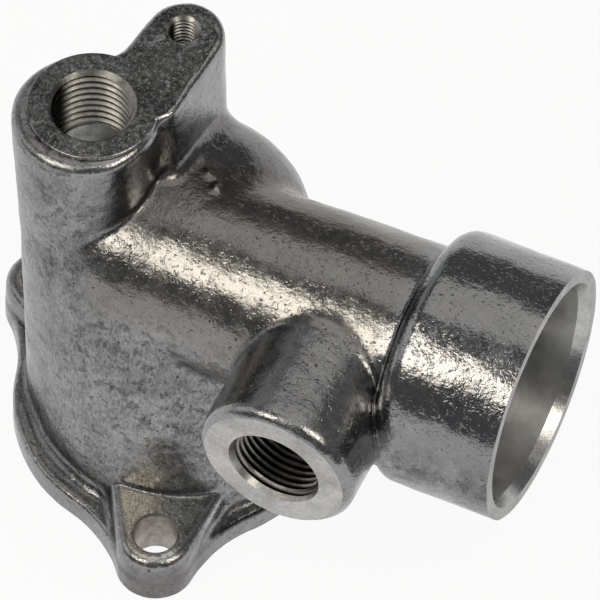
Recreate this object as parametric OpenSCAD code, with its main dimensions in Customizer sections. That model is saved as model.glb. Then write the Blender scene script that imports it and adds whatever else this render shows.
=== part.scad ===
// Coolant outlet housing for an engine: one aluminium casting with a flanged chamber,
// a side outlet with a socket collar, a tall threaded port and a sensor boss.
// Millimetres. Z is up, X runs along the outlet, the flange face lies on Z = 0.

/* [Flange] */
// radius of the round flange plate
flange_r = 31.2; // [30.8:0.1:32]
// centre of the plate, a little off the bolt circle
flange_x = -2.3;
flange_y = -0.9;
// thickness of the flange plate
flange_t = 5; // [4.5:0.5:6]
// radius of the circle that carries the three bolt holes
ear_circle_r = 36.3; // [35.8:0.1:37]
// angle of the front ear from the outlet direction
ear_angle = -75; // [-80:1:-70]
// outer radius of an ear about its hole
ear_tip_r = 7.5; // [7.1:0.1:8.2]
// height of the machined ear face
ear_t = 10.6; // [9:0.2:11]
// bolt hole radius
ear_hole_r = 4.2; // [3.3:0.1:4.6]
// hollow corner between an ear and the plate
ear_fillet = 28; // [24:1:32]
// milled bolt face: radius of the cutter and how far it clears the chamber wall
spot_r = 9.3; // [9:0.1:9.8]
spot_clear = 30;

/* [Chamber] */
// chamber axis, measured from the centre of the bolt circle
body_x = -1.4;
body_y = 0.6;
// outer radius of the chamber at the flange
bell_r = 28.4; // [28:0.2:29]
// outer radius of the chamber half way up
bell_mid_r = 27.4; // [27:0.2:28]
bell_mid_z = 28;
// radius of the rounded crown
crown_r = 23.6; // [23.2:0.1:24.4]
// centre of the crown from the chamber axis
crown_x = -1.5;
crown_y = 5.5;
crown_z = 46.9;
// casting wall
wall = 4; // [3.5:0.5:4.5]
// hollow corner between chamber and flange
foot_fillet = 3; // [2:0.5:3.5]
// recess for the valve rim
seat_r = 26.6; // [26:0.2:27]
seat_depth = 3.4; // [3:0.2:4]

/* [Outlet] */
// distance from the chamber axis to the collar end
outlet_len = 74.7; // [73:0.1:80]
// height of the outlet axis above the flange face
outlet_z = 52.3; // [51:0.1:54]
// sideways offset of the outlet axis
outlet_y = -3;
// tube radius at the sensor boss, and how much it grows along the tube
outlet_r = 19.6; // [19.2:0.1:20]
outlet_taper = 0.03; // [0:0.005:0.03]
collar_r = 24.7; // [24.4:0.1:25.4]
collar_len = 24.8; // [24:0.2:26]
socket_r = 21.35; // [21:0.05:21.7]
socket_depth = 21.5; // [18:0.5:22]

/* [Port] */
// height of the machined top pad
top_z = 89.5; // [87:0.5:92]
port_x = -17.3;
port_y = -2.7;
pad_r = 13.7; // [13.4:0.1:14.4]
// the pad stands a little in front of the hole and to its left
pad_dx = -0.9;
pad_dy = -1.4;
// machined face round the hole, raised above the pad's rim
face_r = 12.3; // [12:0.1:12.6]
pad_step = 0.7; // [0.4:0.1:1]
// rounding of the pad's edge
pad_edge = 2.2; // [1.8:0.2:2.6]
column_foot_r = 10.4; // [10:0.1:11]
port_hole_r = 7.3; // [7:0.1:7.6]
port_thread_len = 18; // [15:0.5:20]
arm_x = -9.5;
arm_y = 20.3;
arm_r = 7.45; // [7.2:0.05:7.8]
// root of the arm: its two corners beside the port, and the level where its web starts
root_right = [-5.8, 3.2];
root_left = [-15.9, 3.4];
root_r = 3.1; // [2.8:0.1:3.4]
web_z = 40;
arm_edge = 1.2;
screw_hole_r = 2.55; // [2.4:0.05:2.8]
screw_hole_depth = 14; // [10:0.5:16]

/* [Sensor boss] */
sensor_x = 36.7; // [35:0.1:38]
// distance of the boss face in front of the chamber axis
sensor_face = 39.1; // [38:0.1:42]
sensor_boss_r = 15.6; // [15:0.1:16]
sensor_hole_r = 8.1; // [7.8:0.1:8.4]
sensor_thread_len = 13; // [11:0.5:14]
boss_fillet = 4; // [3:0.5:4.5]

/* [Show] */

$fn = 72;
eps = 0.05;
// arcs that meet lap by this much
lap = 0.01;

function tube_r(x) = outlet_r + outlet_taper * (x - sensor_x);

function ear_at(k) = ear_circle_r * [cos(ear_angle + 120 * k), sin(ear_angle + 120 * k)];

// the hollow corner circle beside an ear, seen from the plate centre with the ear d away on +X
function corner_x(d) = (pow(flange_r + ear_fillet, 2) - pow(ear_tip_r + ear_fillet, 2) + d * d) / (2 * d);
function corner_y(d) = sqrt(pow(flange_r + ear_fillet, 2) - pow(corner_x(d), 2));

module ear_web(d) {
  translate([d, 0])
    circle(ear_tip_r + lap);
  difference() {
    polygon([[0, 0], [corner_x(d), corner_y(d)], [d, 0], [corner_x(d), -corner_y(d)]]);
    for (s = [-1, 1])
      translate([corner_x(d), s * corner_y(d)])
        circle(ear_fillet);
  }
}

module flange_outline() {
  plate = [flange_x, flange_y];
  translate(plate) {
    circle(flange_r + lap);
    for (k = [0:2])
      rotate(atan2(ear_at(k).y - flange_y, ear_at(k).x - flange_x))
        ear_web(norm(ear_at(k) - plate));
  }
}

// solid of revolution: a disc with a rounded top edge
module round_disc(r, h, e) {
  rotate_extrude($fn = 40)
    union() {
      square([r, h - e]);
      square([r - e, h]);
      intersection() {
        translate([r - e, h - e])
          circle(e, $fn = 24);
        square([r, h]);
      }
    }
}

module ears() {
  for (k = [0:2])
    rotate(ear_angle + 120 * k)
      hull() {
        translate([ear_circle_r, 0, 0])
          round_disc(ear_tip_r - 0.1, ear_t, 1.6);
        for (s = [-1, 1])
          translate([22, s * 7.6, 0])
            round_disc(4.2, ear_t, 1.6);
      }
}

module chamber_form(grow, low) {
  hull() {
    translate([0, 0, low])
      cylinder(h = flange_t - low, r = bell_r + grow);
    translate([0, 0, bell_mid_z - 1])
      cylinder(h = 1, r = bell_mid_r + grow);
    translate([crown_x, crown_y, crown_z])
      sphere(crown_r + grow, $fn = 56);
    translate([-8, outlet_y, outlet_z])
      sphere(tube_r(-8) + grow, $fn = 56);
  }
}

// hollow corner round the foot of the chamber, sunk a little into its wall
module foot() {
  start = bell_r - 0.35;
  rotate_extrude()
    difference() {
      translate([start - 2, flange_t - 0.5])
        square([foot_fillet + 2, foot_fillet + 0.5]);
      translate([start + foot_fillet, flange_t + foot_fillet])
        circle(foot_fillet, $fn = 40);
    }
}

module along_outlet(x) {
  translate([x, outlet_y, outlet_z])
    rotate([0, 90, 0])
      children();
}

module outlet() {
  shoulder = 4.4;
  step = outlet_len - collar_len;
  along_outlet(0)
    rotate_extrude()
      union() {
        polygon([[0, -8], [tube_r(-8), -8], [tube_r(step + 2), step + 2], [0, step + 2]]);
        translate([0, step + shoulder])
          square([collar_r, collar_len - shoulder - 0.5]);
        translate([0, step])
          square([collar_r - shoulder, collar_len]);
        translate([0, outlet_len - 1])
          polygon([[0, 0], [collar_r, 0], [collar_r, 0.5], [collar_r - 0.5, 1], [0, 1]]);
        intersection() {
          translate([collar_r - shoulder, step + shoulder])
            circle(shoulder, $fn = 48);
          translate([collar_r - shoulder - eps, step])
            square([shoulder + eps, shoulder + eps]);
        }
        // small hollow corner where the shoulder meets the tube
        difference() {
          translate([tube_r(step) - 1, step - 1.2])
            square([2.2, 1.6]);
          translate([tube_r(step) + 1.2, step - 1.2])
            circle(1.2, $fn = 24);
        }
      }
}

// tapered column with a rounded rim and the raised machined face
module column() {
  rim_z = top_z - pad_step;
  translate([port_x + pad_dx, port_y + pad_dy, 0])
    rotate_extrude()
      union() {
        polygon([
          [0, 0], [column_foot_r, 0], [column_foot_r, 5],
          [pad_r, rim_z - pad_edge], [0, rim_z - pad_edge]
        ]);
        square([pad_r - pad_edge, rim_z]);
        intersection() {
          translate([pad_r - pad_edge, rim_z - pad_edge])
            circle(pad_edge, $fn = 40);
          translate([0, rim_z - pad_edge - eps])
            square([pad_r, pad_edge + eps]);
        }
      }
  translate([port_x, port_y, 0])
    rotate_extrude()
      polygon([
        [0, top_z - 24], [face_r - 3, top_z - 24], [face_r, rim_z - 1],
        [face_r, top_z - 0.2], [face_r - 0.2, top_z], [0, top_z]
      ]);
}

// arm that carries the screw hole, with its web down to the chamber
module arm() {
  hull() {
    translate([arm_x + 0.6, arm_y - 0.6, top_z - 12])
      round_disc(arm_r, 12, arm_edge);
    for (root = [root_right, root_left])
      translate([root.x, root.y, top_z - 12])
        round_disc(root_r, 12, arm_edge);
    translate([arm_x + 1.5, arm_y - 1.3, web_z])
      cylinder(h = 1, r = arm_r, $fn = 40);
    for (root = [root_right, root_left])
      translate([root.x, root.y, web_z])
        cylinder(h = 1, r = root_r, $fn = 40);
  }
}

module toward_front() {
  translate([sensor_x, 0, outlet_z])
    rotate([90, 0, 0])
      children();
}

module boss() {
  edge = 1.6;
  toward_front()
    rotate_extrude()
      union() {
        square([sensor_boss_r, sensor_face - edge]);
        square([sensor_boss_r - edge, sensor_face]);
        intersection() {
          translate([sensor_boss_r - edge, sensor_face - edge])
            circle(edge, $fn = 32);
          translate([0, sensor_face - edge - eps])
            square([sensor_boss_r, edge + eps]);
        }
      }
}

// rolling ball blend between the boss and the outlet tube
bl_n = 60;
bl_m = 6;
bl_in = 0.06;
function bl_r() = sensor_boss_r + boss_fillet;
function bl_o(t) = outlet_r + outlet_taper * bl_r() * -cos(t) + boss_fillet;
function bl_d(t) = sqrt(pow(bl_o(t), 2) - pow(bl_r() * sin(t), 2));
function bl_c(t) = [bl_r() * cos(t), bl_d(t), bl_r() * sin(t)];
function bl_a(t) = [-cos(t), 0, -sin(t)];
function bl_b(t) = -[0, bl_d(t), bl_r() * sin(t)] / bl_o(t);
function bl_dir(t, k) = let (v = bl_a(t) * cos(90 * k / bl_m) + bl_b(t) * sin(90 * k / bl_m)) v / norm(v);
function bl_pt(t, k) = k > bl_m
  ? [0.7 * sensor_boss_r * cos(t), 0.62 * bl_d(t), 0.7 * sensor_boss_r * sin(t)]
  : bl_c(t) + (boss_fillet + bl_in) * bl_dir(t, k);

module boss_blend() {
  ring = bl_m + 2;
  pts = [for (i = [0:bl_n - 1], k = [0:bl_m + 1]) bl_pt(360 * i / bl_n, k)];
  faces = [for (i = [0:bl_n - 1], k = [0:ring - 1])
    let (a = i * ring + k, b = i * ring + (k + 1) % ring)
    let (j = (i + 1) % bl_n)
    let (c = j * ring + (k + 1) % ring, d = j * ring + k)
    each [[a, c, b], [a, d, c]]];
  translate([sensor_x, outlet_y, outlet_z])
    rotate([0, 0, 180])
      polyhedron(pts, faces, convexity = 6);
}

module castings_outside() {
  linear_extrude(flange_t)
    flange_outline();
  ears();
  // the hollow corner stops at the edge of the plate
  intersection() {
    translate([body_x, body_y, 0])
      foot();
    translate([flange_x, flange_y, 0])
      cylinder(h = flange_t + foot_fillet + 1, r = flange_r - 0.2);
  }
  translate([body_x, body_y, 0]) {
    chamber_form(0, flange_t - 1);
    outlet();
    column();
    arm();
    boss();
    boss_blend();
  }
}

module passages() {
  // recess for the valve and the chamber above it
  translate([0, 0, -1])
    cylinder(h = seat_depth + 1, r = seat_r);
  chamber_form(-wall, seat_depth - 0.5);
  // outlet bore and socket
  along_outlet(-8)
    cylinder(h = outlet_len, r = outlet_r - wall + 0.4);
  along_outlet(outlet_len - socket_depth)
    cylinder(h = socket_depth + 1, r = socket_r);
  along_outlet(outlet_len - 0.8)
    cylinder(h = 1, r1 = socket_r, r2 = socket_r + 1);
}

module bolt_holes() {
  for (k = [0:2])
    translate([ear_at(k).x, ear_at(k).y, -1])
      cylinder(h = ear_t + 2, r = ear_hole_r, $fn = 40);
}

module holes() {
  // top port: chamfer, threaded length, plain hole below
  translate([port_x, port_y, top_z - 1.1])
    cylinder(h = 1.21, r1 = port_hole_r, r2 = port_hole_r + 1.21);
  translate([port_x, port_y, top_z - port_thread_len])
    cylinder(h = port_thread_len + 1, r = port_hole_r);
  translate([port_x, port_y, outlet_z])
    cylinder(h = top_z - outlet_z, r = port_hole_r - 0.9);
  // blind screw hole in the arm
  translate([arm_x, arm_y, top_z - screw_hole_depth])
    cylinder(h = screw_hole_depth + 1, r = screw_hole_r, $fn = 36);
  translate([arm_x, arm_y, top_z - 0.7])
    cylinder(h = 0.8, r1 = screw_hole_r, r2 = screw_hole_r + 0.8, $fn = 36);
  // sensor hole: wide lead-in, threaded length, plain hole into the outlet
  toward_front() {
    translate([0, 0, sensor_face - 2.4])
      cylinder(h = 2.5, r1 = sensor_hole_r, r2 = sensor_hole_r + 1.1);
    translate([0, 0, sensor_face - sensor_thread_len - 2.4])
      cylinder(h = sensor_thread_len + 2.5, r = sensor_hole_r);
    translate([0, 0, -outlet_y])
      cylinder(h = sensor_face + outlet_y - 1, r = sensor_hole_r - 1);
  }
}

// bolt faces milled flat round the ear holes
module spot_faces() {
  for (k = [0:2])
    rotate(ear_angle + 120 * k)
      translate([ear_circle_r, 0, ear_t])
        cylinder(h = spot_clear, r = spot_r, $fn = 60);
}

module housing() {
  color([0.62, 0.62, 0.61])
    difference() {
      castings_outside();
      spot_faces();
      bolt_holes();
      translate([body_x, body_y, 0]) {
        passages();
        holes();
      }
    }
}

housing();
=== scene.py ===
"""Looks of the coolant outlet housing: a cast aluminium skin with machined faces and threads."""
import math

import bmesh
import bpy
import numpy as np
import openvdb as vdb
from mathutils import Matrix, Vector


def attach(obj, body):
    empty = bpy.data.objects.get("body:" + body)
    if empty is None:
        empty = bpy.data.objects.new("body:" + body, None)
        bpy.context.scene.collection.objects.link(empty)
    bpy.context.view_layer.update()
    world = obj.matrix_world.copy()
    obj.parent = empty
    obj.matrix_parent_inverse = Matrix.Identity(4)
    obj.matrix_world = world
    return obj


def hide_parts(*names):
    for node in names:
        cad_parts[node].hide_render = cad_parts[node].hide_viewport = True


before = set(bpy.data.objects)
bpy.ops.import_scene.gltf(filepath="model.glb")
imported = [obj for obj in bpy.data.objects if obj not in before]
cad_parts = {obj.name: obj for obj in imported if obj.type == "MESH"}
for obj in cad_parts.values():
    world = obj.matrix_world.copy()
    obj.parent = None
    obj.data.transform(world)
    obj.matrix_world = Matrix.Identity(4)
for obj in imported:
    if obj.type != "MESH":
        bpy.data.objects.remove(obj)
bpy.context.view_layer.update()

# Shapes are worked out in millimetres and stored in metres
MM, TO_MM = 0.001, 1000

# Sizes that the CAD source also has. PLATE and the ears are measured from the bolt circle,
# everything else from the chamber's axis, BODY
BODY = np.array([-1.4, 0.6])
PLATE = np.array([-2.3, -0.9])
PLATE_R, PLATE_T = 31.2, 5.0
EARS, EAR_CIRCLE, EAR_ANGLE = 3, 36.3, -75.0
EAR_R, EAR_T, EAR_HOLE, EAR_FILLET = 7.5, 10.6, 4.2, 28.0
BELL_R, BELL_MID_R, BELL_MID_Z, WALL = 28.4, 27.4, 28.0, 4.0
CROWN_R, CROWN = 23.6, np.array([-1.5, 5.5, 46.9])
SEAT_R, SEAT_DEPTH = 26.6, 3.4
OUT_LEN, OUT_Y, OUT_Z, OUT_R, OUT_TAPER = 74.7, -3.0, 52.3, 19.6, 0.03
COLLAR_R, COLLAR_LEN, SOCKET_R, SOCKET_D = 24.7, 24.8, 21.35, 21.5
TOP_Z, PORT, PORT_R, PORT_LEN = 89.5, np.array([-17.3, -2.7]), 7.3, 18.0
PAD_R, PAD_D, PAD_STEP, PAD_EDGE = 13.7, np.array([-0.9, -1.4]), 0.7, 2.2
FACE_R, COL_R = 12.3, 10.4
ARM, ARM_R, WEB_Z = np.array([-9.5, 20.3]), 7.45, 40.0
ROOTS, ROOT_R = ((-5.8, 3.2), (-15.9, 3.4)), 3.1
SCREW_R, SCREW_D = 2.55, 14.0
SENSOR_X, SENSOR_FACE, BOSS_R, SENSOR_R, SENSOR_LEN = 36.7, 39.1, 15.6, 8.1, 13.0

# Further sizes of the raw casting: where shapes start, rounded edges and hollow corners
OUT_START, UNDER, TUBE_SLIM = -8, -3, 0.2
EAR_SLIM, EAR_ROOT, EAR_ROOT_SIDE, EAR_ROOT_R = 0.1, 22, 7.6, 4.2
ARM_TIP, ARM_FOOT, ARM_DEPTH, STOCK = (0.6, -0.6), (1.5, -1.3), 12, 0.03
COLLAR_EDGE, BOSS_EDGE, PLATE_EDGE, EAR_EDGE, ARM_EDGE, FACE_EDGE = 4.2, 2.5, 1.1, 2.2, 1.1, 0.55
TUBE_BLEND, COLLAR_FILLET, ARM_FILLET, BOSS_FILLET, FOOT_FILLET = 2.5, 1.1, 3.0, 1.1, 2.6
MOULD_MARK, MARK_R, MARK_BLEND = ((2.6, 4.9, 69.7), (5.3, 4.6, 69.2), (5.6, 2.4, 69.9)), 0.95, 0.7
# Height, length and seed of the waves that make the skin uneven
RIPPLES = ((0.045, 9.0, 3), (0.02, 4.0, 8))

# Further sizes of the machining: CUT is how deep a thread goes into the wall
PASSAGE_R, SOCKET_LEAD, SOCKET_OPEN = 16, 2.2, 0.9
PORT_PITCH, PORT_CUT, PORT_THREAD = 1.78, 0.95, 15.6
SCREW_PITCH, SCREW_CUT = 1.0, 0.5
SENSOR_PITCH, SENSOR_CUT, SENSOR_THREAD = 1.5, 0.8, SENSOR_LEN + 2.4
# One turn of a thread, as shares of its pitch and of its depth
THREAD_FORM = ((0.0, 0.0), (0.2, 0.0), (0.34, 0.42), (0.42, 0.66), (0.54, 1.0), (0.66, 1.0))
# Corners closer than this, in metres, are one corner
SLIVER = 1e-5

# Sampling grid of the distance field
VOX = 0.66
LOW = np.array([-46.2, -46.2, -4.2])
SIZE = np.array([189, 125, 151])
BASE = np.round(LOW / VOX).astype(int)
BASE_IJK = tuple(int(v) for v in BASE)
X = ((BASE[0] + np.arange(SIZE[0])) * VOX).astype(np.float32)[:, None, None]
Y = ((BASE[1] + np.arange(SIZE[1])) * VOX).astype(np.float32)[None, :, None]
Z = ((BASE[2] + np.arange(SIZE[2])) * VOX).astype(np.float32)[None, None, :]
BX, BY = X - BODY[0], Y - BODY[1]


def rise(v, low, high):
    """0 at low, 1 at high, straight between. low may be the larger one."""
    return np.clip((v - low) / (high - low), 0, 1)


def tube_r(x):
    """Radius of the tapered outlet at a place along it."""
    return OUT_R + OUT_TAPER * (x - SENSOR_X)


def ear_axes(k):
    """Directions out along an ear and across it."""
    t = math.radians(EAR_ANGLE + 360 / EARS * k)
    return np.array([math.cos(t), math.sin(t)]), np.array([-math.sin(t), math.cos(t)])


def ear_at(k):
    """Centre of an ear's hole."""
    return EAR_CIRCLE * ear_axes(k)[0]


def fillet(a, b, r):
    """Union of two fields with a round hollow corner of radius r."""
    u = np.maximum(r - a, 0)
    v = np.maximum(r - b, 0)
    return np.maximum(np.minimum(a, b), r) - np.sqrt(u * u + v * v)


def soft(a, b, k):
    """Union of two fields that runs together over a width k."""
    h = np.maximum(k - np.abs(a - b), 0) / k
    return np.minimum(a, b) - h * h * k * 0.25


def corner(a, b, r):
    """Intersection of two fields with an outer edge rounded to radius r."""
    u = np.maximum(a + r, 0)
    v = np.maximum(b + r, 0)
    return np.minimum(np.maximum(a, b), -r) + np.sqrt(u * u + v * v)


def hull_mesh(points):
    """Convex hull of points as arrays of corners and triangles."""
    bm = bmesh.new()
    for p in points:
        bm.verts.new(p)
    bmesh.ops.convex_hull(bm, input=bm.verts[:], use_existing_faces=False)
    loose = [v for v in bm.verts if not v.link_faces]
    bmesh.ops.delete(bm, geom=loose, context="VERTS")
    bmesh.ops.triangulate(bm, faces=bm.faces[:])
    bmesh.ops.recalc_face_normals(bm, faces=bm.faces[:])
    bm.verts.index_update()
    co = np.array([v.co[:] for v in bm.verts], np.float32)
    tri = np.array([[v.index for v in f.verts] for f in bm.faces], np.uint32)
    bm.free()
    return co, tri


def hull_field(points, reach=7.0):
    """Distance field of a convex hull on the sampling grid, up to reach."""
    co, tri = hull_mesh(points)
    step = vdb.createLinearTransform(voxelSize=VOX)
    grid = vdb.FloatGrid.createLevelSetFromPolygons(
        co, triangles=tri, transform=step, halfWidth=reach / VOX)
    field = np.zeros(tuple(SIZE), np.float32)
    grid.copyToArray(field, ijk=BASE_IJK)
    return field


def ring(x, y, z, r, n=96):
    """Points of a level circle."""
    t = np.linspace(0, 2 * math.pi, n, endpoint=False)
    return np.column_stack([x + r * np.cos(t), y + r * np.sin(t), np.full(n, z)])


def disc(x, y, z0, z1, r, edge, n=64):
    """Points of an upright disc with a rounded top edge."""
    rows = [ring(x, y, z0, r, n)]
    for s in np.linspace(0, math.pi / 2, 7):
        rows.append(ring(x, y, z1 - edge + edge * math.sin(s), r - edge + edge * math.cos(s), n))
    return np.vstack(rows)


def ball(c, r, n=88):
    """Points of a ball."""
    rows = [ring(c[0], c[1], c[2] + r * math.sin(s), r * math.cos(s), n)
            for s in np.linspace(-1.5, 1.5, n // 2)]
    return np.vstack(rows + [np.array([[c[0], c[1], c[2] + r], [c[0], c[1], c[2] - r]])])


def chamber_points(grow, low):
    """Points whose hull is the domed chamber, grown by a distance and starting at a level."""
    foot = BELL_R + grow
    pts = [ring(0, 0, low, foot, 160), ring(0, 0, PLATE_T, foot, 160)]
    pts.append(ring(0, 0, BELL_MID_Z, BELL_MID_R + grow, 160))
    pts.append(ball(CROWN, CROWN_R + grow))
    pts.append(ball((OUT_START, OUT_Y, OUT_Z), tube_r(OUT_START) + grow))
    return np.vstack(pts) + np.array([BODY[0], BODY[1], 0])


def plate_outline():
    """Corners of the flange outline: for each ear a hollow corner, the tip, a hollow corner and
    the plate's arc up to the next ear."""
    def arc(x, y, r, angles):
        return [(x + r * math.cos(t), y + r * math.sin(t)) for t in angles]

    pts = []
    for k in range(EARS):
        this, following = ear_at(k) - PLATE, ear_at(k + 1) - PLATE
        d = float(np.hypot(*this))
        base = math.atan2(this[1], this[0])
        cx = ((PLATE_R + EAR_FILLET) ** 2 - (EAR_R + EAR_FILLET) ** 2 + d * d) / (2 * d)
        cy = math.sqrt((PLATE_R + EAR_FILLET) ** 2 - cx * cx)
        a1 = math.atan2(cy, cx)
        a2 = math.atan2(cy, cx - d)
        gap = (math.atan2(following[1], following[0]) - base) % (2 * math.pi) - 2 * a1
        local = arc(cx, -cy, EAR_FILLET, -np.linspace(-math.pi + a1, -math.pi + a2, 30))
        local += arc(d, 0, EAR_R, np.linspace(-a2, a2, 40))
        local += arc(cx, cy, EAR_FILLET, np.linspace(-math.pi + a2, -math.pi + a1, 30))
        local += arc(0, 0, PLATE_R, np.linspace(a1, a1 + gap, 40)[1:-1])
        c, s = math.cos(base), math.sin(base)
        pts += [(PLATE[0] + c * x - s * y, PLATE[1] + s * x + c * y) for x, y in local]
    return np.array(pts)


def outline_field(poly):
    """Signed distance in the plane to a closed outline."""
    px, py = np.meshgrid(X[:, 0, 0], Y[0, :, 0], indexing="ij")
    best = np.full(px.shape, 1e9)
    inside = np.zeros(px.shape, bool)
    for a, b in zip(poly, np.roll(poly, -1, axis=0)):
        d = b - a
        t = np.clip(((px - a[0]) * d[0] + (py - a[1]) * d[1]) / max(d @ d, 1e-12), 0, 1)
        best = np.minimum(best, np.hypot(px - a[0] - t * d[0], py - a[1] - t * d[1]))
        if a[1] != b[1]:
            cross = (a[1] > py) != (b[1] > py)
            inside ^= cross & (px < (b[0] - a[0]) * (py - a[1]) / (b[1] - a[1]) + a[0])
    return np.where(inside, -best, best).astype(np.float32)


def outlet_field():
    """Fields of the tapered tube, which starts as a ball, and of the collar."""
    rho = np.sqrt((BY - OUT_Y) ** 2 + (Z - OUT_Z) ** 2)
    step = OUT_LEN - COLLAR_LEN
    start = np.sqrt(rho ** 2 + np.minimum(BX - OUT_START, 0) ** 2)
    tube = np.maximum(start - tube_r(np.maximum(BX, OUT_START)) + TUBE_SLIM, BX - step - 3)
    collar = corner(rho - COLLAR_R, step - BX, COLLAR_EDGE)
    return tube, np.maximum(collar, BX - OUT_LEN - 2)


def column_field():
    """Field of the column under the port, which widens from the plate up to the pad."""
    c = PORT + PAD_D
    rim = TOP_Z - PAD_STEP
    rho = np.sqrt((BX - c[0]) ** 2 + (BY - c[1]) ** 2)
    slope = (PAD_R - COL_R) / (rim - PAD_EDGE - PLATE_T)
    side = (rho - COL_R - slope * (Z - PLATE_T)) / math.sqrt(1 + slope * slope)
    return corner(side, Z - rim, PAD_EDGE)


def boss_field():
    """Field of the sensor boss, with a little stock on its face for the cut."""
    side = np.sqrt((BX - SENSOR_X) ** 2 + (Z - OUT_Z) ** 2) - BOSS_R
    return np.maximum(corner(side, -SENSOR_FACE - 0.2 - BY, BOSS_EDGE), BY - OUT_Y)


def arm_points():
    """Points whose hull is the arm with the web below it."""
    bx, by = BODY
    low, top = TOP_Z - ARM_DEPTH, TOP_Z + STOCK
    tip, foot = (BODY + ARM + np.array(d) for d in (ARM_TIP, ARM_FOOT))
    pts = [disc(tip[0], tip[1], low, top, ARM_R, ARM_EDGE)]
    pts += [disc(bx + x, by + y, low, top, ROOT_R, ARM_EDGE) for x, y in ROOTS]
    pts.append(ring(foot[0], foot[1], WEB_Z, ARM_R))
    pts += [ring(bx + x, by + y, WEB_Z, ROOT_R) for x, y in ROOTS]
    return np.vstack(pts)


def ear_points(k):
    """Points whose hull is the raised part of an ear, from its tip into the chamber wall."""
    u, n = ear_axes(k)
    spots = [(u * EAR_CIRCLE, EAR_R - EAR_SLIM)]
    spots += [(u * EAR_ROOT + n * s, EAR_ROOT_R) for s in (EAR_ROOT_SIDE, -EAR_ROOT_SIDE)]
    return np.vstack([disc(p[0], p[1], UNDER, EAR_T, r, EAR_EDGE) for p, r in spots])


def ripple(amount, length, seed):
    """Gentle unevenness of a sand-cast surface, as a sum of plane waves."""
    rng = np.random.default_rng(seed)
    out = np.zeros(tuple(SIZE), np.float32)
    for _ in range(9):
        k = rng.normal(size=3)
        k *= 2 * math.pi / (length * rng.uniform(0.7, 1.5)) / np.linalg.norm(k)
        out += np.sin(k[0] * X + k[1] * Y + k[2] * Z + rng.uniform(0, 6.3)).astype(np.float32)
    return out * (amount / 3)


def bead(points, r):
    """Thin raised line through points, a mark that the mould left."""
    best = np.full(tuple(SIZE), 9.0, np.float32)
    for a, b in zip(points[:-1], points[1:]):
        a, d = np.array(a), np.array(b) - np.array(a)
        px, py, pz = BX - a[0], BY - a[1], Z - a[2]
        t = np.clip((px * d[0] + py * d[1] + pz * d[2]) / (d @ d), 0, 1)
        far = (px - t * d[0]) ** 2 + (py - t * d[1]) ** 2 + (pz - t * d[2]) ** 2
        best = np.minimum(best, np.sqrt(far) - r)
    return best


def casting_field():
    """Distance field of the raw casting, before anything is machined."""
    body = hull_field(chamber_points(0, UNDER))
    tube, collar = outlet_field()
    body = soft(body, tube, TUBE_BLEND)
    body = fillet(body, collar, COLLAR_FILLET)
    # The column's corner is sharp at the crown and wide where it runs into the wall
    body = fillet(body, column_field(), 0.9 + 4.5 * rise(Z, 61, 45))
    body = fillet(body, hull_field(arm_points()), ARM_FILLET)
    body = fillet(body, boss_field(), BOSS_FILLET)
    flat = outline_field(plate_outline())[:, :, None]
    plate = np.maximum(corner(flat, Z - PLATE_T, PLATE_EDGE), UNDER - Z)
    body = fillet(body, plate, FOOT_FILLET)
    for k in range(EARS):
        hole = ear_at(k)
        # The corner beside an ear is wide away from its tip, between plate and ear top
        inner = rise(np.hypot(X - hole[0], Y - hole[1]), 8.5, 11.5)
        blend = 0.5 + 1.5 * inner * rise(Z, 9.5, 6.5) * rise(Z, 3.5, 5.0)
        body = fillet(body, hull_field(ear_points(k), 4.0), blend)
    body = soft(body, bead(MOULD_MARK, MARK_R), MARK_BLEND)
    for wave in RIPPLES:
        body = body + ripple(*wave)
    return body


def sample(field, p):
    """Trilinear values of the field at points in millimetres."""
    q = p / VOX - BASE
    i = np.clip(np.floor(q).astype(int), 0, SIZE - 2)
    f = q - i
    share = (1 - f, f)
    out = 0
    for a, b, c in np.ndindex(2, 2, 2):
        w = share[a][:, 0] * share[b][:, 1] * share[c][:, 2]
        out = out + w * field[i[:, 0] + a, i[:, 1] + b, i[:, 2] + c]
    return out


def differences(field, p, h):
    """Differences of the field over a step h to both sides, along the three axes."""
    return np.column_stack([sample(field, p + h * e) - sample(field, p - h * e)
                            for e in np.eye(3)])


def field_normals(field, p):
    """Outward directions of the field at points."""
    grad = differences(field, p, 0.45)
    return grad / np.maximum(np.linalg.norm(grad, axis=1, keepdims=True), 1e-9)


def new_object(name, verts, faces):
    """Mesh object from corners in metres."""
    mesh = bpy.data.meshes.new(name)
    mesh.from_pydata([tuple(v) for v in verts], [], [tuple(int(i) for i in f) for f in faces])
    mesh.update()
    obj = bpy.data.objects.new(name, mesh)
    bpy.context.scene.collection.objects.link(obj)
    return obj


def skin_object(field):
    """Mesh of the raw casting, with its corners moved onto the field's surface."""
    back = 3 * VOX
    grid = vdb.FloatGrid(back)
    grid.copyFromArray(np.clip(field, -back, back), ijk=BASE_IJK)
    grid.transform = vdb.createLinearTransform(voxelSize=VOX)
    grid.gridClass = vdb.GridClass.LEVEL_SET
    co, quads = grid.convertToQuads(isovalue=0.0)
    co = co.astype(float)
    h = 0.3
    for _ in range(3):
        d = sample(field, co)
        g = differences(field, co, h) / (2 * h)
        n2 = np.maximum((g * g).sum(1), 0.2)
        co = co - np.clip(d / n2, -0.3, 0.3)[:, None] * g
    return new_object("housing_casting", co * MM, quads[:, ::-1])


def aimed_object(name, points, faces, origin, axis):
    """Mesh object whose own Z points along an axis, with its zero at origin, in millimetres."""
    turn = np.array(Vector((0, 0, 1)).rotation_difference(Vector(axis)).to_matrix())
    return new_object(name, (points @ turn.T + np.array(origin)) * MM, faces)


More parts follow.
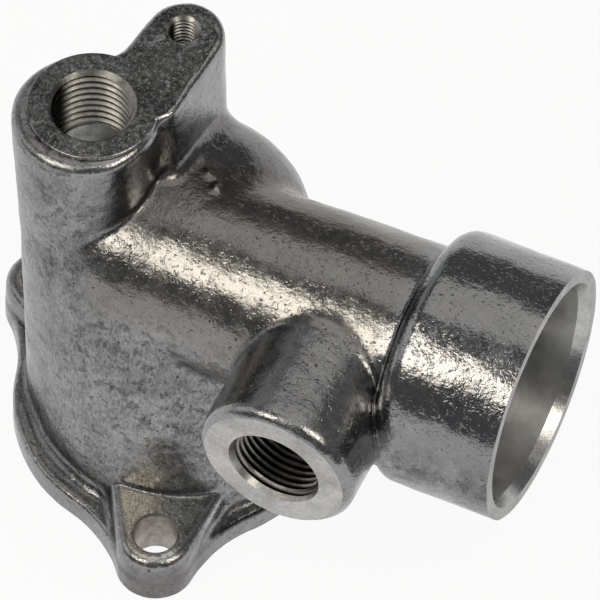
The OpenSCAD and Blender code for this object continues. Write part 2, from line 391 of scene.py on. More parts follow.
def lathe(name, rows, origin, axis, n):
    """Closed solid of revolution. rows are (radius, height) along the axis."""
    t = np.linspace(0, 2 * math.pi, n, endpoint=False)
    verts = [np.column_stack([r * np.cos(t), r * np.sin(t), np.full(n, h)]) for r, h in rows]
    verts = np.vstack(verts + [np.array([[0, 0, rows[0][1]], [0, 0, rows[-1][1]]])])
    m = len(rows)
    faces = []
    for i in range(m - 1):
        for j in range(n):
            k = (j + 1) % n
            faces.append((i * n + j, i * n + k, (i + 1) * n + k, (i + 1) * n + j))
    for j in range(n):
        k = (j + 1) % n
        faces.append((m * n, k, j))
        faces.append((m * n + 1, (m - 1) * n + j, (m - 1) * n + k))
    return aimed_object(name, verts, faces, origin, axis)


def thread(name, r, pitch, depth, length, origin, axis, n):
    """Threaded hole as a closed screw surface that opens above height 0 and runs to -length."""
    top, per = 0.7, len(THREAD_FORM)
    t = np.linspace(0, 1, n, endpoint=False)
    around = 2 * math.pi * t
    turns = int((length + top) / pitch) + 4
    verts = []
    for k in range(turns):
        for w, d in THREAD_FORM:
            h = np.clip(-length + (k - 2 + w + t) * pitch, -length, top)
            fade = np.clip(np.minimum(h + length, top - h) / (0.6 * pitch), 0, 1)
            rad = r + depth * d * fade
            verts.append(np.column_stack([rad * np.cos(around), rad * np.sin(around), h]))
    rows = len(verts)
    # Corners that the two ends press together become one
    keys, ids = np.unique(np.round(np.vstack(verts), 6), axis=0, return_inverse=True)
    ids = ids.reshape(rows, n)
    low, high = len(keys), len(keys) + 1
    faces = []
    for i in range(rows - 1):
        for j in range(n):
            a, b = (i, j + 1) if j + 1 < n else (i + per, 0)
            if a + 1 >= rows:
                continue
            quad = [ids[i, j], ids[a, b], ids[a + 1, b], ids[i + 1, j]]
            face = [q for m, q in enumerate(quad) if q != quad[m - 1]]
            if len(set(face)) == len(face) > 2:
                faces.append(face)
    for j in range(n):
        k = (j + 1) % n
        faces.append((low, ids[0, k], ids[0, j]))
        faces.append((high, ids[-1, j], ids[-1, k]))
    keys = np.vstack([keys, [[0, 0, -length], [0, 0, top]]])
    return aimed_object(name, keys, faces, origin, axis)


def block(name, low, high):
    """Box between two corners."""
    (a, b, c), (d, e, f) = low, high
    v = [(a, b, c), (d, b, c), (d, e, c), (a, e, c), (a, b, f), (d, b, f), (d, e, f), (a, e, f)]
    q = [(3, 2, 1, 0), (4, 5, 6, 7), (0, 1, 5, 4), (1, 2, 6, 5), (2, 3, 7, 6), (3, 0, 4, 7)]
    return new_object(name, np.array(v) * MM, q)


def machining():
    """Everything that is done after casting, in order, as (operation, solid)."""
    cut, join = "DIFFERENCE", "UNION"
    up, out, front = (0, 0, 1), (1, 0, 0), (0, -1, 0)
    wide, high = 60, 99
    bx, by = BODY
    end, face = bx + OUT_LEN, by - SENSOR_FACE
    port, screw = (*(BODY + PORT), TOP_Z), (*(BODY + ARM), TOP_Z)
    sensor = (bx + SENSOR_X, face, OUT_Z)

    # Flat faces, and the raised face round the port
    edge = [(FACE_R - FACE_EDGE + FACE_EDGE * math.cos(s), TOP_Z - 0.5 + FACE_EDGE * math.sin(s))
            for s in np.linspace(0, 1.4, 6)]
    yield cut, block("cut_top", (-wide, -wide, TOP_Z), (40, wide, high))
    yield join, lathe("raise_pad", [(FACE_R, 83)] + edge, (port[0], port[1], 0), up, 128)
    yield cut, block("cut_pad", (-wide, -wide, TOP_Z), (40, wide, high))
    yield cut, block("cut_base", (-wide, -wide, -9), (wide, wide, 0))
    yield cut, block("cut_end", (end, -wide, 0), (high, wide, high))
    yield cut, block("cut_boss", (10, -wide, 20), (wide, face, high))

    # Bolt holes, chamber, valve seat and outlet
    hole = [(EAR_HOLE + 0.3, -0.2), (EAR_HOLE, 0.3)]
    hole += [(EAR_HOLE, EAR_T - 0.3), (EAR_HOLE + 0.4, EAR_T + 0.2)]
    for k in range(EARS):
        yield cut, lathe("bolt", hole, (*ear_at(k), 0), up, 64)
    co, tri = hull_mesh(chamber_points(-WALL, 3))
    yield cut, new_object("chamber", co * MM, tri)
    seat = [(SEAT_R + 0.5, -0.5), (SEAT_R, 0.01), (SEAT_R, SEAT_DEPTH)]
    seat += [(BELL_R - WALL, SEAT_DEPTH), (BELL_R - WALL, 11)]
    yield cut, lathe("seat", seat, (bx, by, 0), up, 144)
    bore = [(PASSAGE_R, OUT_START), (PASSAGE_R, OUT_LEN - SOCKET_D)]
    bore += [(SOCKET_R, OUT_LEN - SOCKET_D), (SOCKET_R, OUT_LEN - SOCKET_LEAD)]
    bore += [(SOCKET_R + SOCKET_OPEN, OUT_LEN + 0.04)]
    yield cut, lathe("outlet", bore, (bx, by + OUT_Y, OUT_Z), out, 160)

    # Threaded holes, each with its lead-in
    low = [(PORT_R - 0.2, OUT_Z), (PORT_R - 0.2, 76)]
    yield cut, lathe("port_low", low, (port[0], port[1], 0), up, 72)
    yield cut, thread("port", PORT_R, PORT_PITCH, PORT_CUT, PORT_THREAD, port, up, 84)
    yield cut, lathe("port_lead", [(PORT_R - 0.5, -1.5), (PORT_R + 1.6, 0.6)], port, up, 96)
    yield cut, thread("screw", SCREW_R, SCREW_PITCH, SCREW_CUT, SCREW_D, screw, up, 40)
    yield cut, lathe("screw_lead", [(SCREW_R - 0.4, -1.1), (SCREW_R + 1.3, 0.6)], screw, up, 48)
    low = [(SENSOR_R - 1, -SENSOR_FACE - OUT_Y), (SENSOR_R - 1, -10)]
    yield cut, lathe("sensor_low", low, sensor, front, 72)
    yield cut, thread(
        "sensor", SENSOR_R, SENSOR_PITCH, SENSOR_CUT, SENSOR_THREAD, sensor, front, 96)
    lead = [(SENSOR_R - 0.35, -3.2), (SENSOR_R + 1.32, 0.6)]
    yield cut, lathe("sensor_lead", lead, sensor, front, 112)


def apply_cuts(obj):
    """Does the machining on the object, and removes the solids that did it."""
    for op, tool in machining():
        mod = obj.modifiers.new(tool.name, "BOOLEAN")
        mod.operation = op
        mod.solver = "MANIFOLD"
        mod.object = tool
        bpy.context.view_layer.update()
        graph = bpy.context.evaluated_depsgraph_get()
        made = bpy.data.meshes.new_from_object(obj.evaluated_get(graph))
        obj.modifiers.remove(mod)
        old, obj.data = obj.data, made
        bpy.data.meshes.remove(old)
        gone = tool.data
        bpy.data.objects.remove(tool)
        bpy.data.meshes.remove(gone)


def clear_slivers(obj):
    """Merges the very close corners that the cuts leave behind, and deletes the pairs of faces
    that this folds flat."""
    bm = bmesh.new()
    bm.from_mesh(obj.data)
    bmesh.ops.triangulate(bm, faces=bm.faces[:])
    bmesh.ops.dissolve_degenerate(bm, dist=SLIVER, edges=bm.edges[:])
    bmesh.ops.triangulate(bm, faces=bm.faces[:])
    bm.verts.index_update()
    groups = {}
    for f in bm.faces:
        groups.setdefault(tuple(sorted(v.index for v in f.verts)), []).append(f)
    flaps = [f for same in groups.values() if len(same) > 1 for f in same]
    bmesh.ops.delete(bm, geom=flaps, context="FACES")
    bm.to_mesh(obj.data)
    bm.free()


FIELD = casting_field()
casting = skin_object(FIELD)
apply_cuts(casting)
clear_slivers(casting)
casting.data.name = "housing_casting"


class Nodes:
    """Small helper to build the node tree of a metal."""

    def __init__(self, name):
        self.mat = bpy.data.materials.new(name)
        self.mat.use_nodes = True
        self.tree = self.mat.node_tree
        self.bsdf = self.tree.nodes["Principled BSDF"]
        self.bsdf.inputs["Metallic"].default_value = 1.0
        self.place = self.add("ShaderNodeTexCoord").outputs["Object"]

    def add(self, kind, **values):
        """New node, with values for its settings and sockets."""
        node = self.tree.nodes.new(kind)
        for key, value in values.items():
            if hasattr(node, key):
                setattr(node, key, value)
            else:
                node.inputs[key].default_value = value
        return node

    def join(self, a, b):
        self.tree.links.new(a, b)

    def noise(self, scale, detail, rough, stretch=None):
        """Noise in the object's own space, in features a metre."""
        node = self.add("ShaderNodeTexNoise", Scale=scale, Detail=detail, Roughness=rough)
        src = self.place
        if stretch:
            m = self.add("ShaderNodeMapping")
            m.inputs["Scale"].default_value = stretch
            self.join(src, m.inputs["Vector"])
            src = m.outputs["Vector"]
        self.join(src, node.inputs["Vector"])
        return node.outputs["Fac"]

    def mark(self, name):
        """Value that skin_marks wrote on the vertices."""
        return self.add("ShaderNodeAttribute", attribute_name=name).outputs["Fac"]

    def ramp(self, fac, stops):
        """Colour ramp through (position, grey or colour)."""
        node = self.add("ShaderNodeValToRGB")
        el = node.color_ramp.elements
        while len(el) < len(stops):
            el.new(0.5)
        for e, (pos, col) in zip(el, stops):
            e.position = pos
            e.color = (col, col, col, 1) if isinstance(col, float) else (*col, 1)
        self.join(fac, node.inputs["Fac"])
        return node.outputs["Color"]

    def mix(self, kind, fac, a, b):
        """Mix of two colours; each value may be a number, a colour or a socket."""
        node = self.add("ShaderNodeMix", data_type="RGBA", blend_type=kind)
        for slot, value in ((0, fac), (6, a), (7, b)):
            if isinstance(value, (int, float)):
                node.inputs[slot].default_value = value
            elif isinstance(value, tuple):
                node.inputs[slot].default_value = (*value, 1)
            else:
                self.join(value, node.inputs[slot])
        return node.outputs[2]

    def bump(self, height, distance, strength=1.0, after=None):
        """Bump from a height, on top of an earlier one."""
        node = self.add("ShaderNodeBump", Distance=distance, Strength=strength)
        self.join(height, node.inputs["Height"])
        if after is not None:
            self.join(after, node.inputs["Normal"])
        return node.outputs["Normal"]

    def finish(self, colour, rough, normal):
        """Joins the three to the shader, and gives the material."""
        self.join(colour, self.bsdf.inputs["Base Color"])
        self.join(rough, self.bsdf.inputs["Roughness"])
        self.join(normal, self.bsdf.inputs["Normal"])
        return self.mat


# Ramp that spreads the middle of a noise over the whole range
SPREAD = [(0.3, 0.0), (0.7, 1.0)]


def cast_material():
    """Cast skin: mottled and rough where skin_marks says grit, smoother elsewhere."""
    n = Nodes("cast_aluminium_skin")
    grit, hollow, edge = (n.mark(k) for k in ("grit", "hollow", "edge"))
    low_back_shade, wear_and_light, tint = (n.mark(k) for k in ("low_back_shade", "wear_and_light", "tint"))
    gloss, tone_shift, blotch = (n.mark(k) for k in ("gloss", "tone_shift", "blotch"))

    # Colour of the bare skin
    broad = n.ramp(n.noise(60, 3, 0.6), SPREAD)
    cloud = n.ramp(n.noise(330, 4, 0.65), SPREAD)
    grain = n.ramp(n.noise(2300, 3, 0.65), SPREAD)
    scratch = n.noise(2000, 4, 0.7, stretch=(1, 1, 0.45))
    patches = n.mix("MIX", 0.55, broad, cloud)
    even = n.ramp(n.mix("MIX", 0.4, patches, grain), [
        (0.2, (0.2, 0.2, 0.203)), (0.5, (0.245, 0.245, 0.25)), (0.8, (0.29, 0.288, 0.288))])
    rubbed = n.mix("MIX", 0.42, patches, n.ramp(scratch, [(0.32, 0.0), (0.68, 1.0)]))
    uneven = n.ramp(rubbed, [
        (0.22, (0.105, 0.105, 0.107)), (0.5, (0.25, 0.249, 0.254)), (0.78, (0.385, 0.381, 0.381))])
    colour = n.mix("MIX", grit, even, uneven)

    # Pits, stains, dirt and wear, then painted shade and painted highlights
    pits = n.ramp(n.noise(1200, 3, 0.6), [(0.64, 1.0), (0.69, 0.3)])
    stains = n.ramp(n.noise(340, 4, 0.66), [(0.58, 1.0), (0.61, 0.55)])
    spots = n.ramp(n.noise(190, 5, 0.7), [(0.6, 1.0), (0.625, 0.66)])
    dirt = n.ramp(n.noise(125, 5, 0.7), [(0.5, 1.0), (0.62, 0.7)])
    soiled = n.mix("MULTIPLY", 1.0, n.mix("MULTIPLY", 1.0, stains, spots), dirt)
    colour = n.mix("MULTIPLY", grit, n.mix("MULTIPLY", 1.0, colour, pits), soiled)
    # The rubbed front ear: lighter, partly wear and partly painted light
    wear_and_light_colour = n.mix("MIX", tint, (0.6, 0.62, 0.6), (0.58, 0.55, 0.49))
    wear_and_light_colour = n.mix("MULTIPLY", 0.5, wear_and_light_colour, n.ramp(grain, [(0.0, 0.5), (1.0, 1.0)]))
    colour = n.mix("MIX", wear_and_light, colour, wear_and_light_colour)
    # Painted shade in hollow corners and creases, and on the flange rim beside the front ear
    colour = n.mix("MULTIPLY", hollow, colour, (0.2, 0.2, 0.205))
    # Lighter along rounded edges, partly rubbed metal and partly painted highlight; on the boss's
    # sides painted light
    colour = n.mix("MULTIPLY", edge, colour, (1.25, 1.25, 1.23))
    # Painted light: a darker, warmer colour on the outlet's top that dims and warms its highlight
    colour = n.mix("MULTIPLY", tone_shift, colour, (0.9, 0.88, 0.83))
    blots = n.ramp(n.noise(170, 5, 0.7), [(0.42, 1.1), (0.5, 0.85), (0.57, 0.76), (0.59, 0.52)])
    colour = n.mix("MULTIPLY", blotch, colour, blots)
    # Painted shade: darker low down by the ear tips, on the back of the crown and outlet, and
    # towards the left
    colour = n.mix("MULTIPLY", low_back_shade, colour, (0.66, 0.635, 0.62))

    # Roughness
    matt = n.ramp(cloud, [(0.2, 0.16), (0.9, 0.28)])
    bright = n.ramp(cloud, [(0.2, 0.1), (0.9, 0.18)])
    gritty = n.ramp(cloud, [(0.2, 0.2), (0.9, 0.36)])
    rough = n.mix("MIX", grit, n.mix("MIX", gloss, matt, bright), gritty)

    # Relief too fine for the mesh
    where = n.ramp(n.noise(170, 2, 0.5), [(0.35, 0.2), (0.6, 1.0)])
    dents = n.ramp(n.noise(1050, 2, 0.5), [(0.57, 0.0), (0.68, 1.0)])
    normal = n.bump(n.noise(520, 2, 0.5), 0.00016, 0.6)
    normal = n.bump(n.noise(1900, 2, 0.6), 0.00006, 0.65, normal)
    normal = n.bump(n.mix("MULTIPLY", 1.0, scratch, grit), 0.00007, 0.8, normal)
    normal = n.bump(n.mix("MULTIPLY", 1.0, dents, where), 0.00004, 1.0, normal)
    normal = n.bump(pits, 0.00006, 0.9, normal)
    return n.finish(colour, rough, normal)


def pad_material():
    """Milled top, dark with pale specks."""
    n = Nodes("milled_pad")
    grain = n.noise(950, 6, 0.8)
    broad = n.ramp(n.noise(100, 4, 0.65), [(0.36, 0.55), (0.64, 1.25)])
    base = n.ramp(grain, [
        (0.4, (0.045, 0.046, 0.047)), (0.54, (0.15, 0.151, 0.15)), (0.66, (0.42, 0.42, 0.41))])
    specks = n.ramp(n.noise(2700, 3, 0.6), [(0.61, 0.0), (0.67, 1.0)])
    colour = n.mix("MIX", specks, n.mix("MULTIPLY", 1.0, base, broad), (0.48, 0.485, 0.48))
    rough = n.ramp(grain, [(0.3, 0.28), (0.7, 0.42)])
    return n.finish(colour, rough, n.bump(grain, 0.0002, 0.8))


def thread_material():
    """Cut thread, with shade painted dark where skin_marks says."""
    n = Nodes("cut_thread")
    base = n.ramp(n.noise(900, 3, 0.6), [(0.3, (0.2, 0.196, 0.184)), (0.7, (0.37, 0.361, 0.34))])
    # Painted shade: near black in the thread roots and on the left wall of the upright holes
    colour = n.mix("MULTIPLY", n.mark("thread_shade"), base, (0.03, 0.029, 0.027))
    rough = n.ramp(n.noise(260, 3, 0.6), [(0.3, 0.28), (0.7, 0.4)])
    return n.finish(colour, rough, n.bump(n.noise(1500, 3, 0.6), 0.00003, 0.6))


def turned_material():
    """Bore turned on a lathe: fine rings round the outlet's axis."""
    n = Nodes("turned_bore")
    rings = n.noise(2600, 2, 0.5, stretch=(1, 0.04, 0.04))
    tone_shift = n.noise(120, 3, 0.6)
    n.bsdf.inputs["Anisotropic"].default_value = 0.7
    n.bsdf.inputs["Anisotropic Rotation"].default_value = 0.25
    around = n.add("ShaderNodeTangent", direction_type="RADIAL", axis="X")
    n.join(around.outputs["Tangent"], n.bsdf.inputs["Tangent"])
    colour = n.ramp(tone_shift, [(0.38, (0.4, 0.4, 0.394)), (0.6, (0.6, 0.6, 0.59))])
    rough = n.ramp(tone_shift, [(0.3, 0.42), (0.7, 0.52)])
    return n.finish(colour, rough, n.bump(rings, 0.00003, 1.0))


def machined_material(name, light, dark, rough, grain_scale, depth):
    """Plain machined metal between two colours and two values of roughness."""
    n = Nodes(name)
    grain = n.noise(grain_scale, 3, 0.6)
    tone_shift = n.ramp(n.noise(160, 4, 0.65), [(0.35, 0.72), (0.62, 1.0)])
    colour = n.mix("MULTIPLY", 1.0, n.ramp(grain, [(0.3, dark), (0.7, light)]), tone_shift)
    rough = n.ramp(n.noise(260, 3, 0.6), [(0.3, rough[0]), (0.7, rough[1])])
    return n.finish(colour, rough, n.bump(grain, depth, 0.6))


SLOTS = {
    "cast": cast_material(),
    "pad": pad_material(),
    "turned": turned_material(),
    "thread": thread_material(),
    "faced": machined_material(
        "faced_flat", (0.58, 0.574, 0.56), (0.4, 0.396, 0.386), (0.28, 0.42), 2200, 0.00005),
    # The outlet's end face is a darker copy of the faced metal: painted shade
    "rim": machined_material(
        "faced_rim", (0.42, 0.417, 0.41), (0.27, 0.268, 0.263), (0.28, 0.42), 2200, 0.00005),
    "lead": machined_material(
        "turned_lead", (0.54, 0.537, 0.53), (0.42, 0.418, 0.412), (0.2, 0.3), 1600, 0.00004),
    "bored": machined_material(
        "bored_passage", (0.85, 0.845, 0.83), (0.4, 0.397, 0.39), (0.3, 0.45), 420, 0.00005),
    "drilled": machined_material(
        "drilled_hole", (0.46, 0.42, 0.39), (0.28, 0.256, 0.24), (0.35, 0.5), 900, 0.00005),
}


def read(items, name, width, kind=float):
    """One property of all items of a mesh as an array."""
    out = np.zeros(len(items) * width, kind)
    items.foreach_get(name, out)
    return out.reshape(-1, width) if width > 1 else out


def assign_finishes(obj):
    """Gives each face the finish of the operation that made it, by where it lies."""
    mesh = obj.data
    mesh.materials.clear()
    names = list(SLOTS)
    for key in names:
        mesh.materials.append(SLOTS[key])
    x, y, z = (read(mesh.polygons, "center", 3) * TO_MM).T
    nx, ny, nz = read(mesh.polygons, "normal", 3).T
    count = len(mesh.polygons)
    slot = np.zeros(count, np.int32)

    def give(finish, where):
        slot[where] = names.index(finish)

    flat, skim = 0.99, 0.02
    bx, by = BODY
    end, face = bx + OUT_LEN, by - SENSOR_FACE
    give("pad", (z > TOP_Z - skim) & (nz > flat))
    give("faced", (z < skim) & (nz < -flat))
    give("faced", (y < face + skim) & (ny < -flat) & (z > 25))
    give("rim", (x > end - skim) & (nx > flat))
    rho = np.hypot(y - by - OUT_Y, z - OUT_Z)
    socket = rho < SOCKET_R + 1.2
    give("turned", socket & (x > end - SOCKET_D - 0.1) & (nx < 0.9))
    give("turned", (rho < SOCKET_R + 0.6) & (np.abs(x - end + SOCKET_D) < 0.1))
    give("lead", socket & (x > end - SOCKET_LEAD) & (np.abs(nx - 0.37) < 0.1))
    port = np.hypot(x - bx - PORT[0], y - by - PORT[1]) < 8.6
    give("thread", port & (z > TOP_Z - PORT_LEN - 14) & (nz < 0.98))
    give("bored", port & (z > OUT_Z) & (z < TOP_Z - PORT_THREAD))
    screw = np.hypot(x - bx - ARM[0], y - by - ARM[1]) < 3.4
    give("thread", screw & (z > TOP_Z - SCREW_D - 0.1) & (nz < 0.98))
    sensor = np.hypot(x - bx - SENSOR_X, z - OUT_Z) < 9.25
    give("thread", sensor & (y < by - 14) & (ny > -0.98))
    give("faced", sensor & (y < face + 1.3) & (np.abs(ny + 0.5) < 0.25))
    for k in range(EARS):
        e = ear_at(k)
        give("drilled", (np.hypot(x - e[0], y - e[1]) < 4.8) & (z < EAR_T + 0.1))
    mesh.polygons.foreach_set("material_index", slot)
    mesh.polygons.foreach_set("use_smooth", np.ones(count, bool))
    mesh.set_sharp_from_angle(angle=math.radians(19))
    mesh.update()


def shade_from_field(obj, field):
    """Gives the cast skin the exact normals of the distance field; cut faces keep their own."""
    mesh = obj.data
    co = read(mesh.vertices, "co", 3) * TO_MM
    grad = field_normals(field, co)
    on_skin = np.abs(sample(field, co)) < 0.1
    corner_vert = read(mesh.loops, "vertex_index", 1, np.int32)
    face_slot = read(mesh.polygons, "material_index", 1, np.int32)
    face_size = read(mesh.polygons, "loop_total", 1, np.int32)
    normals = read(mesh.corner_normals, "vector", 3, np.float32)
    use = on_skin[corner_vert] & (np.repeat(face_slot, face_size) == 0)
    use &= (normals * grad[corner_vert]).sum(1) > 0.5
    normals[use] = grad[corner_vert][use]
    mesh.normals_split_custom_set([tuple(v) for v in normals.tolist()])


def painted_thread_shade(x, y, z):
    """Painted shade in the roots of the threads, and on the left wall of the two upright holes."""
    thread_shade = np.zeros(len(x))
    turn = math.radians(32)
    left = np.array([-math.cos(turn), -math.sin(turn)])
    port, screw = (PORT, PORT_R, PORT_CUT, PORT_LEN + 20), (ARM, SCREW_R, SCREW_CUT, SCREW_D)
    for at, r, depth, low in (port, screw):
        d = np.column_stack([x, y]) - at
        far = np.hypot(d[:, 0], d[:, 1])
        side = d @ left / np.maximum(far, 1e-6)
        side = np.where(z < TOP_Z - 1.0, rise(side, 0.42, 0.68), 0.6 * rise(side, 0.2, 0.7))
        root = rise((far - r) / depth, 0.36, 0.62) * (z < TOP_Z - 0.9)
        inside = (far < r + depth + 0.1) & (z > TOP_Z - low - 1) & (z < TOP_Z + 0.01)
        thread_shade = np.where(inside, np.maximum(side, root), thread_shade)
    far = np.hypot(x - SENSOR_X, z - OUT_Z)
    deep = y + SENSOR_FACE
    inside = (far < SENSOR_R + 0.9) & (deep < SENSOR_LEN + 3) & (deep > 1)
    return np.where(inside, rise((far - SENSOR_R) / SENSOR_CUT, 0.36, 0.7), thread_shade)


def skin_marks(obj, field):
    """Writes on the vertices how hollow, edged, rough, rubbed or dirty the skin is, and where
    shade and highlights are painted into its colour. Ranges of x and y are from the chamber's
    axis, ranges of ear from the nearest bolt hole."""
    mesh = obj.data
    co = read(mesh.vertices, "co", 3) * TO_MM
    x, y, z = co[:, 0] - BODY[0], co[:, 1] - BODY[1], co[:, 2]
    up = field_normals(field, co)[:, 2]
    holes = [ear_at(k) for k in range(EARS)]
    ear = np.min([np.hypot(co[:, 0] - e[0], co[:, 1] - e[1]) for e in holes], axis=0)
    bend = -6 * field
    for axis in range(3):
        bend = bend + np.roll(field, 1, axis) + np.roll(field, -1, axis)
    bend = sample(bend / (0.6 * VOX), co)

    # Areas of the casting
    boss = (np.hypot(x - SENSOR_X, z - OUT_Z) < BOSS_R + 0.6) & (y < -17)
    boss_sides = boss & (np.abs(x - SENSOR_X) > 7)
    tube = np.hypot(y - OUT_Y, z - OUT_Z) < 21
    front = y < -20
    foot = rise(z, 16, 4) * rise(np.abs(up), 0.6, 0.3) * rise(ear, 12, 8)
    back = rise(x, 46, 26) * rise(z, 50, 58) * rise(y, -6, 4) * rise(z, 76, 70)
    pocket = rise(x, 6, 11) * rise(y, -9, -17) * rise(z, EAR_T + 1.5, EAR_T) * rise(ear, 7.5, 9)
    pocket_rim = pocket * rise(np.abs(z - PLATE_T), 1.6, 1.1) * rise(ear, 9, 12)
    floor = rise(z, 4.3, 5.2) * rise(z, 10.2, 9.0) * rise(ear, 8, 11)
    floor = floor * rise(np.hypot(x, y), 29, 30)

    # Outer edges, lightened as painted highlight, and hollow corners, darkened as painted shade
    edge = rise(bend, 0.32, 0.75)
    # The boss's sides are lightened like an edge: painted light
    edge = np.where(boss_sides, np.maximum(edge, 0.8), edge)
    hollow = rise(bend, -0.3, -1.1) * (1 - 0.7 * rise(z, 44, 50) * (x < 5))
    hollow = hollow * (1 - 0.65 * pocket)
    # The flange rim beside the front ear is painted dark in place of its glint: painted shade
    hollow = np.maximum(hollow, pocket_rim * edge)
    hollow = hollow * (1 - 0.45 * front * (np.abs(z - EAR_T) < 1.6))
    edge = edge * (1 - pocket_rim)

    # Wear and painted light: a lighter colour on the front ear's flat top, warmer to the left, and
    # on the plate in the pocket beside it
    wear_and_light = rise(up, 0.9, 0.985) * (np.abs(z - EAR_T) < 1.2) * front
    wear_and_light = np.maximum(wear_and_light, 0.6 * floor * pocket * (1 - pocket_rim))
    across = (co[:, :2] - ear_at(0)) @ np.array([0.966, 0.259])

    # Rough skin at the left and low down, less so by the flange and towards the collar
    grit = np.maximum(rise(x, -8, -14), rise(z, 60, 50))
    grit = grit * (0.35 + 0.65 * rise(z, 7, 15)) * rise(x, 110, 40)
    # Painted light: the outlet's top between chamber and collar is tinted darker and warmer to dim
    # its highlight
    tone_shift = tube * rise(x, 48, 46) * rise(z, 50, 56) * rise(x, -14, -6) * (1 - boss)
    marks = {
        "hollow": hollow,
        "edge": edge,
        "grit": np.where(boss, 0.2, grit) * (1 - 0.7 * edge) * (1 - wear_and_light),
        # Painted shade low down by the ear tips, at the back and towards the left
        "low_back_shade": np.maximum.reduce([foot, 0.4 * rise(x, -10, -20), 0.85 * back]) * (1 - edge),
        "wear_and_light": wear_and_light,
        "tint": rise(across, 2.5, -1.5),
        "gloss": rise(x, 46, 50) * rise(z, 45, 55),
        "tone_shift": tone_shift,
        "blotch": rise(z, 60, 51) * rise(x, 44, 50),
        # Painted shade in the threads and the upright holes
        "thread_shade": painted_thread_shade(x, y, z),
    }
    for name, value in marks.items():
        data = mesh.attributes.new(name, "FLOAT", "POINT").data
        data.foreach_set("value", value.astype(np.float32))


assign_finishes(casting)
shade_from_field(casting, FIELD)
skin_marks(casting, FIELD)
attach(casting, "root")
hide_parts("housing")


def floor_material():
    """Pale floor that the camera and reflections see as nearly white, and that keeps a shadow."""
    mat = bpy.data.materials.new("white_floor")
    mat.use_nodes = True
    tree = mat.node_tree
    tree.nodes.clear()

    def maths(operation, a, b):
        node = tree.nodes.new("ShaderNodeMath")
        node.operation = operation
        for socket, value in ((node.inputs[0], a), (node.inputs[1], b)):
            if isinstance(value, float):
                socket.default_value = value
            else:
                tree.links.new(value, socket)
        return node.outputs[0]

    paint = tree.nodes.new("ShaderNodeBsdfDiffuse")
    paint.inputs["Color"].default_value = (0.86, 0.86, 0.87, 1)
    glow = tree.nodes.new("ShaderNodeEmission")
    glow.inputs["Strength"].default_value = 1.0
    path = tree.nodes.new("ShaderNodeLightPath").outputs
    more = maths("MAXIMUM", path["Is Glossy Ray"], path["Is Transmission Ray"])
    seen = maths("MAXIMUM", path["Is Camera Ray"], more)
    mix = tree.nodes.new("ShaderNodeMixShader")
    tree.links.new(maths("MULTIPLY", seen, 0.92), mix.inputs["Fac"])
    tree.links.new(paint.outputs["BSDF"], mix.inputs[1])
    tree.links.new(glow.outputs["Emission"], mix.inputs[2])
    out = tree.nodes.new("ShaderNodeOutputMaterial")
    tree.links.new(mix.outputs["Shader"], out.inputs["Surface"])
    return mat


white = floor_material()
floor = new_object("floor", [(-4, -4, 0), (4, -4, 0), (4, 4, 0), (-4, 4, 0)], [(0, 1, 2, 3)])
floor.location.z = -0.0001
floor.data.materials.append(white)

# Low wall round the far side, in metres
WALL_R, WALL_H, WALL_N = 3.4, 0.65, 24
turns = np.linspace(math.radians(35), math.radians(200), WALL_N)
arc = [(WALL_R * math.cos(t), WALL_R * math.sin(t)) for t in turns]
low_wall = new_object(
    "backdrop", [(x, y, z) for z in (0, WALL_H) for x, y in arc],
    [(i, i + WALL_N, i + WALL_N + 1, i + 1) for i in range(WALL_N - 1)])
low_wall.data.materials.append(white)


def lamp(name, azimuth, elevation, distance, size, level, colour):
    """Soft box seen from the object in a direction; level is its radiance."""
    a, e = math.radians(azimuth), math.radians(elevation)
    towards = Vector((math.cos(e) * math.cos(a), math.cos(e) * math.sin(a), math.sin(e)))
    data = bpy.data.lights.new(name, "AREA")
    data.shape = "RECTANGLE"
    data.size, data.size_y = size
    data.energy = level * math.pi * size[0] * size[1]
    data.color = colour
    obj = bpy.data.objects.new(name, data)
    obj.location = Vector(AIM) + towards * distance
    obj.rotation_euler = towards.to_track_quat("Z", "Y").to_euler()
    bpy.context.scene.collection.objects.link(obj)


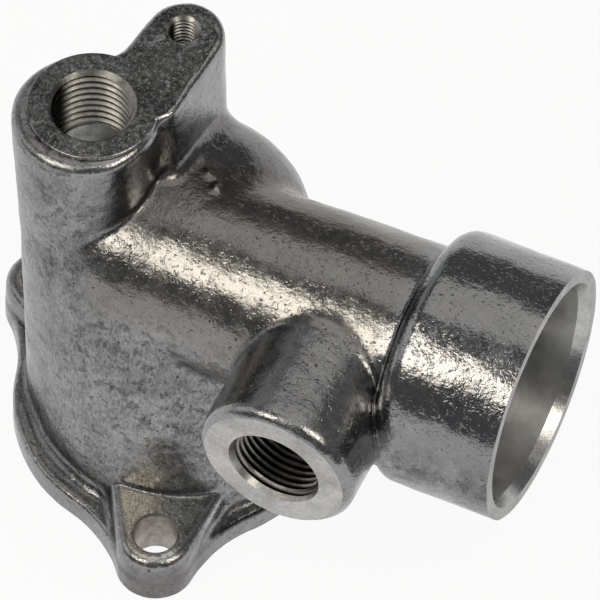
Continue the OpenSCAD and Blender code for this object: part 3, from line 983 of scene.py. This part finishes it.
# Middle of the object, in metres, and the colour of the two bright lamps
AIM = (0.015, -0.002, 0.045)
WARM = (1.0, 0.94, 0.82)
lamp("box_left", -117, 48, 0.65, (0.30, 0.27), 5.0, WARM)
lamp("box_right", -11, 48, 0.65, (0.26, 0.26), 5.0, WARM)
lamp("box_top", 92, 73, 1.0, (1.1, 0.7), 0.76, (1.0, 0.985, 0.94))
lamp("box_front", -65, 71, 1.0, (0.5, 0.36), 0.85, (1.0, 0.985, 0.95))
lamp("box_side", -165, 30, 1.0, (0.6, 0.5), 0.8, (1.0, 0.99, 0.97))
lamp("box_back", 148, 26, 1.0, (0.6, 0.45), 0.38, (0.95, 0.98, 1.0))

world = bpy.data.worlds.new("room")
world.use_nodes = True
background = world.node_tree.nodes["Background"]
background.inputs["Color"].default_value = (0.97, 0.98, 1.0, 1)
background.inputs["Strength"].default_value = 0.165
bpy.context.scene.world = world

# The photo's view, from a fit of the round edges. FOCAL and OFFSET are in pixels of an image
# PIXELS wide, and SETTLE is a last correction in millimetres
AZIMUTH, ELEVATION, ROLL = math.radians(24.48), math.radians(54.51), math.radians(-0.55)
FOCAL, PIXELS, PX_PER_MM, OFFSET = 12000.0, 600, 5.25, (-110.68, 106.81)
SETTLE = np.array([0.4, -0.6, 0])
SENSOR_WIDTH = 36.0


def add_camera():
    """Camera at the photo's angle, with a very long lens."""
    flat = math.cos(ELEVATION)
    back = np.array([math.sin(AZIMUTH) * flat, -math.cos(AZIMUTH) * flat, math.sin(ELEVATION)])
    right = np.array([math.cos(AZIMUTH), math.sin(AZIMUTH), 0])
    down = np.cross(-back, right)
    r2 = math.cos(ROLL) * right + math.sin(ROLL) * down
    d2 = -math.sin(ROLL) * right + math.cos(ROLL) * down
    dist = FOCAL / PX_PER_MM
    shift = np.array([OFFSET[0] / FOCAL * dist, OFFSET[1] / FOCAL * dist, dist])
    where = -(np.array([r2, d2, -back]).T @ shift) - SETTLE
    data = bpy.data.cameras.new("camera")
    data.sensor_width = SENSOR_WIDTH
    data.lens = FOCAL * SENSOR_WIDTH / PIXELS
    data.clip_start, data.clip_end = 0.1, 20
    obj = bpy.data.objects.new("camera", data)
    turn = Matrix((r2, -d2, back)).transposed().to_4x4()
    obj.matrix_world = Matrix.Translation(Vector(where * MM)) @ turn
    bpy.context.scene.collection.objects.link(obj)
    bpy.context.scene.camera = obj


add_camera()
bpy.context.scene.view_settings.view_transform = "Standard"
